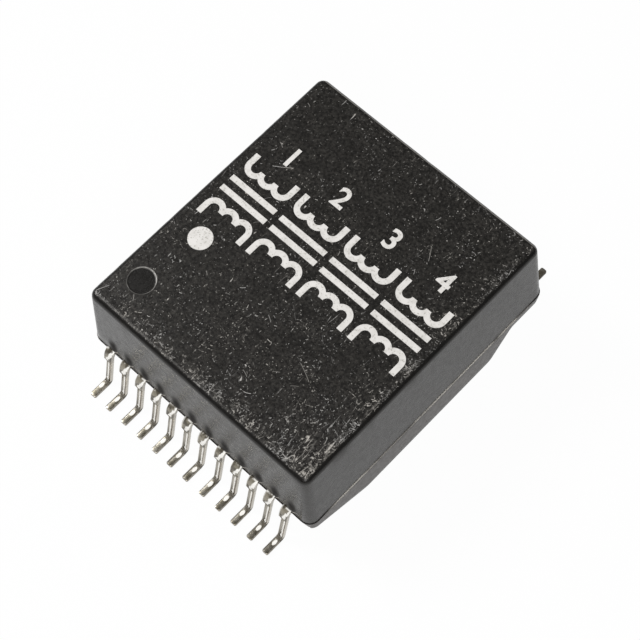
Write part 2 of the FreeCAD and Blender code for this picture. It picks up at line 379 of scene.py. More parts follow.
def pits(tree, flat_place, cell, radius, share, seed):
    """Mask of small round pits, at most one in each random cell. Sizes are in mm."""
    within, dice = random_cells(tree, flat_place, cell, seed)
    distance = add(tree, "VectorMath", within, operation="LENGTH")
    size = add(tree, "MapRange", {"Value": dice[0], "To Min": radius * 0.5, "To Max": radius * 1.3})
    reach = add(tree, "DIVIDE", distance.outputs["Value"], size)
    round_pit = ramp(reach, 1.0, 0.5)
    held = add(tree, "LESS_THAN", dice[2], share)
    depth = add(tree, "POWER", dice[1], 3.0)
    strength = add(tree, "MapRange", {"Value": depth, "To Min": 0.12, "To Max": 0.75})
    return all_of(round_pit, held, strength)


def hairlines(tree, flat_place, stretch, scale, width, share, seed):
    """Mask of fine curly scratches, which follow the level lines of a noise and are broken into
    short pieces by a second one. Scale is per mm, width in mm, and share how much is kept."""
    shift = (seed * 5.31, seed * 2.93, seed * 1.7)
    moved = add(tree, "VectorMath", flat_place, stretch, shift, operation="MULTIPLY_ADD")
    level = add(tree, "TexNoise", {"Vector": moved, "Scale": scale, "Detail": 0.0})
    line = band(level, 0.5, width * scale * 0.5, width * scale * 0.12)
    breaks = add(tree, "TexNoise", {"Vector": moved, "Scale": scale * 2.1, "Detail": 1.0})
    limit = add(tree, "MULTIPLY_ADD", share, -0.36, 0.72)
    over = add(tree, "SUBTRACT", breaks, limit)
    kept = ramp(over, 0.0, 0.08)
    strength = blotches(moved, (scale * 0.9, 1.0, 0.5), 0.38, 0.7, 0.16, 0.95)
    grained = blotches(flat_place, (HAIRLINE_GRAIN, 2.0, 0.5), 0.4, 0.56, 0.42, 1.0)
    return all_of(line, kept, strength, grained)


def top_wear(tree, place):
    """How worn the top is, as four masks: the whole of it, its edges, the part by the near right
    corner, and the ragged line rubbed along the right edge."""
    axes = add(tree, "SeparateXYZ", place).outputs
    flat = {"X": half_length - flat_inset, "Y": half_width - flat_inset}

    # 0 towards the far left corner, and 1 at the near right one, which is worn most
    rightwards = add(tree, "MULTIPLY_ADD", axes["X"], 0.25 / half_length, 0.5)
    diagonal = add(tree, "MULTIPLY_ADD", axes["Y"], -0.25 / half_width, rightwards)
    clusters = blotches(place, (0.7, 4.0, 0.6), 0.36, 0.64, 0.1, 1.0)
    whole = all_of(ramp(diagonal, 0.1, 1.0, 0.12, 0.75), clusters)

    fringes = []
    for axis, side, width, strength in WORN_EDGES:
        inwards = add(tree, "MULTIPLY_ADD", axes[axis], -side, flat[axis])
        fringes.append(ramp(inwards, width, 0.0, 0.0, strength))
    broken = blotches(place, (1.3, 4.0, 0.7), 0.36, 0.6, 0.1, 1.0)
    towards_corner = ramp(diagonal, 0.0, 0.95, 0.3, 1.0)
    edges = all_of(any_of(*fringes), broken, towards_corner)

    rubbed_line = band(axes["X"], flat["X"] - EDGE_RUB_INSET, *EDGE_RUB_BAND)
    rubbed = all_of(rubbed_line, broken, ramp(diagonal, 0.6, 0.9, 0.15, 1.0),
                    blotches(place, (5.0, 4.0, 0.7), 0.5, 0.6))
    return {"whole": any_of(whole, edges), "edges": edges, "rubbed": rubbed,
            "corner": ramp(diagonal, 0.72, 0.97)}


def top_marks(tree, place, wear):
    """All the scratches and pits of the worn top, as one mask."""
    flat_place = add(tree, "VectorMath", place, (1.0, 1.0, 0.0), operation="MULTIPLY")

    def share_between(amount, least, most):
        return add(tree, "MULTIPLY_ADD", amount, most - least, least)

    layers = []
    for part, stretch_x, stretch_y, scale, width, least, most, seed in HAIRLINE_LAYERS:
        share = share_between(wear[part], least, most)
        layers.append(hairlines(tree, flat_place, (stretch_x, stretch_y, 0.0), scale, width, share, seed))
    for cell, length, width, bow, least, most, seed in SCRATCH_LAYERS:
        share = share_between(wear["whole"], least, most)
        layers.append(scratches(tree, flat_place, cell, length, width, bow, share, seed))
    for cell, radius, least, most, seed in PIT_LAYERS:
        share = share_between(wear["whole"], least, most)
        layers.append(pits(tree, flat_place, cell, radius, share, seed))
    return any_of(*layers)


def scuffed_top(tree, place, z):
    """The colour of the scuffed top with a painted highlight on the rim of its recess, and the mask of its
    marks.
    """
    wear = top_wear(tree, place)
    ragged = add(tree, "TexNoise", {"Vector": place, "Scale": 3.0, "Detail": 3.0})
    uneven_z = add(tree, "MULTIPLY_ADD", ragged, 0.05, z)
    on_top = ramp(uneven_z, top_z - 0.012, top_z + 0.015)
    to_recess = add(tree, "VectorMath", place, (recess_x, recess_y, top_z), operation="DISTANCE")
    from_recess = to_recess.outputs["Value"]
    outside_recess = ramp(from_recess, RECESS_RADIUS + 0.04, RECESS_RADIUS + 0.1, 0.12, 1.0)
    lines = any_of(top_marks(tree, place, wear), all_of(wear["rubbed"], 0.65))
    marks = all_of(lines, on_top, outside_recess)

    mottled = blotches(place, (7.0, 4.0, 0.8), 0.38, 0.66)
    clouded = blotches(place, (1.2, 5.0, 0.65), 0.35, 0.62, 0.55, 1.0)
    skin = paint(all_of(mottled, clouded, on_top), "#191817", "#3b3936")
    dusty = any_of(all_of(wear["edges"], 0.25), all_of(wear["corner"], 0.3))
    hazed = paint(all_of(dusty, on_top, mottled), skin, "#4b4947")
    tinted = blotches(place, (0.6, 2.0, 0.5), 0.4, 0.6)
    chalk = paint(tinted, "#c8c6c3", "#c3beb6")
    scuffed = paint(marks, hazed, chalk)

    # Painted highlight: a broken pale ring along the rim of the recess
    rim_highlight_line = band(from_recess, RECESS_RADIUS + RIM_HIGHLIGHT_BAND[1], *RIM_HIGHLIGHT_BAND)
    rim_highlight = all_of(rim_highlight_line, blotches(place, (1.1, 3.0, 0.5), 0.4, 0.58, 0.2, 0.85))
    return paint(rim_highlight, scuffed, "#c4c1bc"), marks


def with_flash(tree, place, x, y, z, under):
    """The colour with two painted highlights: a bright thread along the parting line in the middle
    of the right end, and a thin line along the round back edge of the top."""
    on_right = ramp(x, half_length - 0.4, half_length - 0.1)
    past_corner = ramp(y, -half_width + 0.8, -half_width + 2.0)
    before_back = ramp(y, half_width - 0.6, half_width - 2.0)
    breaks = add(tree, "TexNoise", {"Vector": place, "Scale": 0.8, "Detail": 4.0})
    # Painted highlight: a pale thread along the parting ledge of the right end
    seam = band(z, parting_z - PARTING_HIGHLIGHT_BAND[1], *PARTING_HIGHLIGHT_BAND)
    parting_highlight = all_of(seam, on_right, past_corner, before_back, ramp(breaks, 0.34, 0.5, 0.35, 1.0))
    highlight_painted = paint(parting_highlight, under, "#d3cec5")
    # Painted highlight: a thin pale line along the round back edge of the top
    back_highlight_line = band(y, half_width - flat_inset + BACK_HIGHLIGHT_OUTSET, *BACK_HIGHLIGHT_BAND)
    back_edge_highlight = all_of(back_highlight_line, ramp(breaks, 0.3, 0.5, 0.5, 1.0), ramp(z, top_z - 0.15, top_z - 0.1))
    return paint(back_edge_highlight, highlight_painted, "#8d8a85")


def lead_roots(tree, x, y, z):
    """Places on the long walls by the lead roots: the count of pitches along the row, from left to
    right as seen from outside, the share of a pitch, the height over the parting line, and masks
    of the wall and of the stretch that holds leads."""
    row = add(tree, "SIGN", y)
    along_row = add(tree, "MULTIPLY", x, row)
    pitches = add(tree, "MULTIPLY", along_row, -1 / LEAD_PITCH)
    share = add(tree, "FRACT", pitches)
    climb = add(tree, "SUBTRACT", z, parting_z)
    from_middle = add(tree, "ABSOLUTE", y)
    on_wall = ramp(from_middle, half_width - 0.2, half_width - 0.14)
    row_end = LEADS_PER_ROW / 2
    past_first = ramp(pitches, -row_end + 0.1, -row_end + 0.25)
    in_row = all_of(past_first, ramp(pitches, row_end + 0.2, row_end + 0.05))
    return pitches, share, climb, on_wall, in_row


def moulding_compound():
    """Epoxy moulding compound, transfer moulded. Near black and semi-gloss from the mould,
    with the top scuffed grey by handling, mostly towards its front and right edges."""
    material, tree, shader = new_material("epoxy_moulding_compound")
    place = place_in_mm(tree)
    axes = add(tree, "SeparateXYZ", place)
    x, y, z = (axes.outputs[name] for name in "XYZ")
    top, marks = scuffed_top(tree, place, z)

    # The lower half is duller, with level streaks where the compound flowed
    below = ramp(z, parting_z + 0.01, parting_z - 0.03)
    level = add(tree, "VectorMath", place, (1.0, 1.0, 13.0), operation="MULTIPLY")
    streaked = blotches(level, (1.4, 5.0, 0.7), 0.35, 0.65)
    lower = paint(streaked, "#211d1b", "#4e4743")
    side_streaks = all_of(streaked, ramp(z, top_z - 0.2, top_z - 0.5))
    halves = paint(below, paint(side_streaks, top, "#1d1a18"), lower)
    highlight_painted = with_flash(tree, place, x, y, z, halves)

    # A painted reflection, a thin pale tick, leans beside the root of each lead where its edge mirrors in
    # the wall
    pitches, share, climb, on_wall, in_row = lead_roots(tree, x, y, z)
    slope = add(tree, "MULTIPLY_ADD", climb, -TICK_LEAN, share)
    reflection_tick_line = band(slope, 0.5 + LEAD_WIDTH / 2 / LEAD_PITCH, *TICK_BAND)
    painted_reflection_ticks = all_of(reflection_tick_line, in_row, on_wall, ramp(climb, 0, 0.01),
                   ramp(climb, TICK_HEIGHT, TICK_HEIGHT * 0.6))
    reflection_ticked = paint(painted_reflection_ticks, highlight_painted, "#c9c4bb")

    gloss_noise = add(tree, "TexNoise", {"Vector": place, "Scale": 4.0, "Detail": 4.0})
    roughness = ramp(gloss_noise, 0.3, 0.7, 0.24, 0.32)

    # The wall is polished just over the lead roots, where the shoulders mirror in it, with a dull
    # smudge over each
    polished = all_of(band(climb, 0.15, 0.5, 0.2), on_wall)
    smudge_climb = add(tree, "MULTIPLY_ADD", gloss_noise, 0.9, climb)
    smudge_share = add(tree, "FRACT", add(tree, "ADD", pitches, 0.5 - SMUDGE_PLACE))
    smudge = patch(smudge_share, smudge_climb, (0.5, 0.9), (0.45, 1.15), 0.1)
    smudged = all_of(smudge, smudge, on_wall, in_row, ramp(climb, 0.06, 0.2))
    for mask, change in ((marks, 0.3), (below, 0.1), (polished, -0.15), (smudged, 0.7)):
        roughness = add(tree, "MULTIPLY_ADD", mask, change, roughness)

    # The fine grit of the mould's surface, drawn about 0.08 mm across so that it shows
    grit = add(tree, "TexNoise", {"Vector": place, "Scale": 12.0, "Detail": 5.0, "Roughness": 0.7})
    groove = add(tree, "MULTIPLY_ADD", marks, -0.7, grit)
    bump = add(tree, "Bump", {"Height": groove, "Strength": 0.3, "Distance": 0.02 * MM})
    fill(shader, {"Base Color": reflection_ticked, "Roughness": roughness, "Normal": bump, "IOR": 1.5,
                  "Specular IOR Level": 0.33, "Specular Tint": "#fffcf8"})
    return material


def across_lead(tree, x, y):
    """The place across each lead's own width, from its middle, with its painted light and shade set
    off a little from one lead to the next."""
    pitches = add(tree, "DIVIDE", x, LEAD_PITCH)
    lead = add(tree, "FLOOR", pitches)
    row = add(tree, "SIGN", y)
    which = add(tree, "CombineXYZ", {"X": lead, "Y": row})
    dice = add(tree, "TexWhiteNoise", {"Vector": which}, noise_dimensions="3D")
    share = add(tree, "SUBTRACT", pitches, lead)
    offset = add(tree, "MULTIPLY_ADD", share, -LEAD_PITCH, LEAD_PITCH / 2)
    wobble = add(tree, "MapRange", {"Value": dice, "To Min": -MARK_WOBBLE, "To Max": MARK_WOBBLE})
    return add(tree, "MULTIPLY_ADD", offset, row, wobble)


def shoulder_wedge(tree, place, across, down):
    """A painted highlight: the pale wedge from the root's right end down to the shoulder's left
    corner, with frayed edges. Down is the way from the root round the bend, in mm."""
    left = add(tree, "MapRange", {"Value": down, "From Min": 0.1, "From Max": 0.85, "To Min": 0.04,
                                  "To Max": -0.2})
    right = ramp(down, 0.1, 1.0, 0.2, 0.03)
    fraying = add(tree, "TexNoise", {"Vector": place, "Scale": 5.0, "Detail": 3.0})
    frayed = add(tree, "MapRange", {"Value": fraying, "From Min": 0.3, "From Max": 0.7, "To Min": -0.05,
                                    "To Max": 0.05})
    frayed_across = add(tree, "ADD", across, frayed)
    past_left = add(tree, "SUBTRACT", frayed_across, left)
    before_right = add(tree, "SUBTRACT", right, frayed_across)
    return all_of(ramp(past_left, 0.0, 0.06), ramp(before_right, 0.0, 0.05))


def tin_plate():
    """Matte tin electroplate on copper alloy strip. Warm silver grey, with rolling streaks and duller
    sheared edges. Light and shade are painted on: stripes of painted shade down each leg, painted
    shade on the shoulder, in its bends, along the foot's left edge and by the heel, and painted
    highlights on the shoulder, down the leg, on the heel and on the foot."""
    material, tree, shader = new_material("matte_tin_plate")
    place = place_in_mm(tree)
    axes = add(tree, "SeparateXYZ", place)
    x, y, z = (axes.outputs[name] for name in "XYZ")
    across = across_lead(tree, x, y)
    outwards = add(tree, "ABSOLUTE", y)
    uneven = add(tree, "TexNoise", {"Vector": place, "Scale": 3.0, "Detail": 2.0})

    on_foot = ramp(z, LEAD_THICKNESS + 0.06, LEAD_THICKNESS + 0.01)
    on_leg = all_of(ramp(z, 0.22, 0.34), ramp(z, shoulder_end + 0.02, shoulder_end - 0.04))
    on_shoulder = ramp(z, shoulder_end - 0.02, shoulder_end + 0.02)

    # The strip itself, with its rolling streaks, and two stripes of painted shade down the leg
    stretched = add(tree, "VectorMath", place, (12.0, 1.0, 1.0), operation="MULTIPLY")
    streaks = add(tree, "TexNoise", {"Vector": stretched, "Scale": 0.7, "Detail": 1.0})
    strip = paint(ramp(streaks, 0.3, 0.7), "#bcb6a9", "#d9d4ca")
    left_painted_shade = all_of(band(across, *LEFT_SHADE_STRIPE), on_leg, ramp(z, 1.2, 0.4, 0.55, 0.95))
    right_painted_shade = all_of(band(across, *RIGHT_SHADE_STRIPE), on_leg)
    left_stripe_shaded = paint(left_painted_shade, strip, "#5d584c")
    stripes_shaded = paint(right_painted_shade, left_stripe_shaded, "#8e867b")

    # Painted shade on the shoulder, standing in for the dim surroundings its flat top mirrors, and in the
    # folds above and below the leg
    ragged_z = add(tree, "MULTIPLY_ADD", uneven, 0.12, z)
    painted_shoulder_shade = all_of(on_shoulder, ramp(ragged_z, shoulder_end - 0.1, shoulder_end + 0.2, 0.55, 1.0))
    shoulder_shade_colour = paint(ramp(uneven, 0.4, 0.6), "#544f45", "#8b8577")
    painted_fold_shade = any_of(band(z, shoulder_end, *FOLD_SHADE_BAND), band(z, HEEL_FOLD_HEIGHT, *FOLD_SHADE_BAND))
    fold_shaded = paint(painted_fold_shade, paint(painted_shoulder_shade, stripes_shaded, shoulder_shade_colour), "#69624f")

    # The upper side of the foot, and painted shade along its left border and by the heel
    foot_tone = blotches(place, (4.0, 2.0, 0.5), 0.35, 0.65)
    foot_colour = paint(foot_tone, "#a19a87", "#d2ccbe")
    soled = paint(on_foot, fold_shaded, foot_colour)
    heel_shade = all_of(band(outwards, heel_y + 0.1, 0.14, 0.1), ramp(z, 0.34, 0.27))
    painted_border_shade = all_of(any_of(ramp(across, -0.085, -0.12), heel_shade), on_foot)

    # The sheared edges, which face sideways or outwards at the foot's tip
    facing = add(tree, "SeparateXYZ", add(tree, "NewGeometry").outputs["Normal"]).outputs
    sideways = add(tree, "ABSOLUTE", facing["X"])
    upwards = add(tree, "ABSOLUTE", facing["Z"])
    foot_end = all_of(on_foot, ramp(upwards, 0.6, 0.3))
    sheared = any_of(ramp(sideways, 0.5, 0.8), foot_end)
    shear_colour = paint(on_foot, "#cac5bb", "#a19b90")
    sheared_and_border_shaded = paint(painted_border_shade, paint(sheared, soled, shear_colour), "#625d53")

    # Pale painted highlights on the foot, the heel and the shoulder, and a painted highlight line down the
    # leg
    foot_highlight = patch(outwards, across, (heel_y + FOOT_HIGHLIGHT_FROM_HEEL, 0.0), FOOT_HIGHLIGHT_REACH)
    heel_highlight = patch(z, across, HEEL_HIGHLIGHT, HEEL_HIGHLIGHT_REACH)
    drop = add(tree, "SUBTRACT", outwards, z)
    down = add(tree, "SUBTRACT", drop, half_width + MOULD_STEP - parting_z)
    shoulder_highlight_end = ramp(z, shoulder_end + 0.05, shoulder_end + 0.1)
    shoulder_highlight = all_of(shoulder_wedge(tree, place, across, down), shoulder_highlight_end)
    left_rim_highlight = ramp(across, -0.28, -0.31, 0.0, 0.6)
    root_highlight = all_of(ramp(down, 0.06, 0.03), ramp(uneven, 0.48, 0.58, 0.0, 0.7))
    painted_highlights = any_of(all_of(foot_highlight, on_foot), heel_highlight, all_of(band(across, *LEG_HIGHLIGHT_LINE), on_leg),
                   all_of(any_of(shoulder_highlight, left_rim_highlight, root_highlight), on_shoulder))
    highlight_mask = all_of(painted_highlights, ramp(sideways, 0.8, 0.5))
    highlit_colour = paint(highlight_mask, sheared_and_border_shaded, "#fbf9f4")

    # The painted shade on the shoulder and along the foot's border is dull and less metallic, and so are
    # the foot's sheared edges
    dull_edge = all_of(sheared, on_foot)
    dull_edges_and_painted_shade = all_of(any_of(painted_shoulder_shade, painted_border_shade, dull_edge), ramp(highlight_mask, 1.0, 0.0), 0.8)
    bare = ramp(any_of(highlight_mask, dull_edges_and_painted_shade), 0.0, 1.0, 1.0, 0.1)
    roughness = ramp(uneven, 0.3, 0.7, 0.24, 0.3)
    for mask in (highlight_mask, dull_edge):
        roughness = add(tree, "MULTIPLY_ADD", mask, 0.3, roughness)
    bump = add(tree, "Bump", {"Height": streaks, "Strength": 0.08, "Distance": 0.02 * MM})
    fill(shader, {"Base Color": highlit_colour, "Metallic": bare, "Roughness": roughness, "Normal": bump})
    return material


def marking_ink():
    """White marking ink, pad printed. Slightly warm and dull, with pinholes that show the
    moulding through it and a faint unevenness of the film."""
    material, tree, shader = new_material("white_marking_ink")
    place = place_in_mm(tree)
    thin = blotches(place, (3.0, 5.0, 0.6), 0.35, 0.7)
    white = paint(thin, "#ebe8e4", "#dcd9d4")
    pores = add(tree, "TexNoise", {"Vector": place, "Scale": 12.0, "Detail": 3.0})
    speckled = paint(ramp(pores, 0.56, 0.7), white, "#b9b6af")
    bump = add(tree, "Bump", {"Height": pores, "Strength": 0.3, "Distance": 0.01 * MM})
    fill(shader, {"Base Color": speckled, "Roughness": 0.55, "Normal": bump})
    return material


def ferrite():
    """Sintered ferrite, tumbled. Charcoal grey, dull and faintly granular."""
    material, tree, shader = new_material("sintered_ferrite")
    place = place_in_mm(tree)
    grains = add(tree, "TexVoronoi", {"Vector": place, "Scale": 14.0}).outputs["Distance"]
    shade = paint(grains, "#26262a", "#414144")
    bump = add(tree, "Bump", {"Height": grains, "Strength": 0.3, "Distance": 0.02 * MM})
    fill(shader, {"Base Color": shade, "Roughness": 0.6, "Normal": bump})
    return material


def enamelled_wire():
    """Copper magnet wire under clear enamel. Copper red and glossy, with its turns side by side."""
    material, tree, shader = new_material("enamelled_copper_wire")
    place = place_in_mm(tree)
    turns = add(tree, "TexWave", {"Vector": place, "Scale": 2.3, "Distortion": 0.6},
                wave_type="BANDS", bands_direction="DIAGONAL")
    shade = paint(turns, "#6e2f16", "#c8743f")
    bump = add(tree, "Bump", {"Height": turns, "Strength": 0.6, "Distance": 0.05 * MM})
    fill(shader, {"Base Color": shade, "Metallic": 0.85, "Roughness": 0.3, "Normal": bump,
                  "Coat Weight": 0.6})
    return material


def lerp(a, b, share):
    """The value at a share of the way from a to b."""
    return a + (b - a) * share


def plan_ring(inset, radius):
    """One ring of the moulding seen from above, anticlockwise from the left end of its front."""
    x = half_length - inset
    y = half_width - inset
    corners = ((1, -1, -90, FRONT_STEPS), (1, 1, 0, SIDE_STEPS), (-1, 1, 90, FRONT_STEPS),
               (-1, -1, 180, SIDE_STEPS))
    points = []
    last = (-x + radius, -y)
    for side_x, side_y, start, steps in corners:
        centre = (side_x * (x - radius), side_y * (y - radius))
        arc = []
        for step in range(CORNER_STEPS + 1):
            angle = math.radians(start + 90 * step / CORNER_STEPS)
            arc.append((centre[0] + radius * math.cos(angle), centre[1] + radius * math.sin(angle)))
        for step in range(steps):
            points.append((lerp(last[0], arc[0][0], step / steps), lerp(last[1], arc[0][1], step / steps)))
        points += arc[:-1]
        last = arc[-1]
    return points


def keel_height(y):
    """Height of the underside at one y, with its folds softened over a short run."""
    edge = half_width - FLANGE_DRAFT
    painted_fold_shade = ((-half_width - 1, flange_z), (-edge, flange_z), (-half_width + FRONT_RAMP_RUN, bottom_z),
             (half_width - BACK_FLANGE_RUN - BACK_RAMP_RUN, bottom_z),
             (half_width - BACK_FLANGE_RUN, flange_z), (half_width + 1, flange_z))
    samples = []
    for share in (-1, -0.5, 0, 0.5, 1):
        at = max(y, -edge) + share * KEEL_FOLD
        for (y0, z0), (y1, z1) in zip(painted_fold_shade, painted_fold_shade[1:]):
            if y0 <= at <= y1:
                samples.append(lerp(z0, z1, (at - y0) / (y1 - y0)))
                break
    return sum(samples) / len(samples)


def flange_reach(z):
    """Half width of the lower half at one height. Its flanges draw in towards their undersides."""
    return half_width + MOULD_STEP - (MOULD_STEP + FLANGE_DRAFT) * (parting_z - z) / FLANGE_DEPTH


def upper_levels():
    """Height, inset and corner radius of each ring from the parting line to the flat top."""
    levels = []
    for step in range(WALL_STEPS):
        share = step / WALL_STEPS
        levels.append((lerp(parting_z + PARTING_GROOVE, meet_z, share), meet_inset * share,
                       lerp(SIDE_CORNER_RADIUS, TOP_CORNER_RADIUS, share)))
    levels.append((meet_z - EDGE_GUARD, meet_inset - 0.002, TOP_CORNER_RADIUS))
    for step in range(EDGE_STEPS + 1):
        angle = lerp(wall_slope, math.pi / 2, step / EDGE_STEPS)
        inset = flat_inset - TOP_EDGE_RADIUS * math.cos(angle)
        height = top_z - TOP_EDGE_RADIUS + TOP_EDGE_RADIUS * math.sin(angle)
        levels.append((height, inset, TOP_CORNER_RADIUS - (inset - meet_inset)))
    levels.append((top_z, flat_inset + EDGE_GUARD, TOP_CORNER_RADIUS - TOP_EDGE_RADIUS - 0.01))
    return levels


def chipped(point):
    """A point of the top edge, drawn in where the edge is worn down."""
    size = sum(noise.noise(Vector(point) * scale) * share for scale, share in CHIP_SCALES)
    depth = max(0.0, size - CHIP_START) * CHIP_DEPTH / CHIP_SPAN
    inwards = Vector((-point[0] / half_length, -point[1] / half_width, -1.0)).normalized()
    return Vector(point) + inwards * depth


def moulding_mesh():
    """The whole moulding as one closed skin."""
    mesh = bmesh.new()
    rings = []

    def ring_at(points):
        rings.append([mesh.verts.new(Vector(point) * MM) for point in points])

    def lower_ring(share, inset, rounding, lift):
        ring = []
        drawn_in = inset + rounding
        for x, y in plan_ring(drawn_in, SIDE_CORNER_RADIUS - drawn_in):
            height = lerp(parting_z, keel_height(y) + lift, share)
            reach = flange_reach(height) - rounding
            ring.append((x, min(max(y, -reach), reach), height))
        ring_at(ring)

    edge = BOTTOM_EDGE_RADIUS
    for rounding, lift in ((1.8, 0.0), (1.0, 0.0), (0.3, 0.3), (0.0, 1.0)):
        lower_ring(1.0, LOWER_DRAFT, edge * rounding, edge * lift)
    for step in range(1, WALL_STEPS):
        share = 1 - step / WALL_STEPS
        lower_ring(share, lerp(-MOULD_STEP, LOWER_DRAFT, share), 0.0, edge)
    for climb, inset in PARTING_RINGS:
        ring_at([(x, y, parting_z + climb) for x, y in plan_ring(inset, SIDE_CORNER_RADIUS - inset)])
    for height, inset, corner in upper_levels():
        points = [(x, y, height) for x, y in plan_ring(inset, corner)]
        if height > top_z - TOP_EDGE_RADIUS:
            points = [chipped(point) for point in points]
        ring_at(points)

    count = len(rings[0])
    for low, high in zip(rings, rings[1:]):
        for i in range(count):
            j = (i + 1) % count
            mesh.faces.new((low[i], low[j], high[j], high[i]))

    # The underside, as strips from the right end to the left one, and a face along each long side
    bottom = rings[0]
    chain = 2 * CORNER_STEPS + SIDE_STEPS
    right = [bottom[FRONT_STEPS + step] for step in range(chain + 1)]
    left = [bottom[-step % count] for step in range(chain + 1)]
    for step in range(1, chain - 1):
        mesh.faces.new((right[step], left[step], left[step + 1], right[step + 1]))
    back_start = FRONT_STEPS + chain
    back = [bottom[(back_start + step) % count] for step in range(FRONT_STEPS + 1)]
    mesh.faces.new(bottom[:FRONT_STEPS + 1] + [right[1], left[1]])
    mesh.faces.new(back + [left[chain - 1], right[chain - 1]])

    # The recess, and the flat top round it
    recess_rings = []
    for wider, climb in RECESS_RINGS:
        ring_radius = RECESS_RADIUS + wider
        ring = []
        for step in range(RECESS_STEPS):
            angle = 2 * math.pi * step / RECESS_STEPS
            x = recess_x + ring_radius * math.cos(angle)
            y = recess_y + ring_radius * math.sin(angle)
            ring.append(mesh.verts.new(Vector((x, y, top_z + climb)) * MM))
        recess_rings.append(ring)
    for outer, inner in zip(recess_rings, recess_rings[1:]):
        for i in range(RECESS_STEPS):
            j = (i + 1) % RECESS_STEPS
            mesh.faces.new((outer[i], outer[j], inner[j], inner[i]))
    mesh.faces.new(recess_rings[-1])
    loops = [rings[-1], recess_rings[0]]
    corners = loops[0] + loops[1]
    for triangle in tessellate_polygon([[vert.co for vert in loop] for loop in loops]):
        mesh.faces.new([corners[index] for index in triangle])

    bmesh.ops.recalc_face_normals(mesh, faces=mesh.faces[:])
    for face in mesh.faces:
        face.smooth = True
    for join in mesh.edges:
        join.smooth = join.calc_face_angle(0.0) < math.radians(SHARP_ANGLE)
    data = bpy.data.meshes.new("moulding")
    mesh.to_mesh(data)
    mesh.free()
    return data


def put(name, data):
    """Puts an object that holds the data into the scene."""
    holder = bpy.data.objects.new(name, data)
    bpy.context.collection.objects.link(holder)
    return holder


def show(name, data, material, replaced=()):
    """Puts a finished mesh into the scene as one piece of the object."""
    piece = put(name, data)
    data.materials.clear()
    data.materials.append(material)
    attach(piece, "root")
    if replaced:
        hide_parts(*replaced)


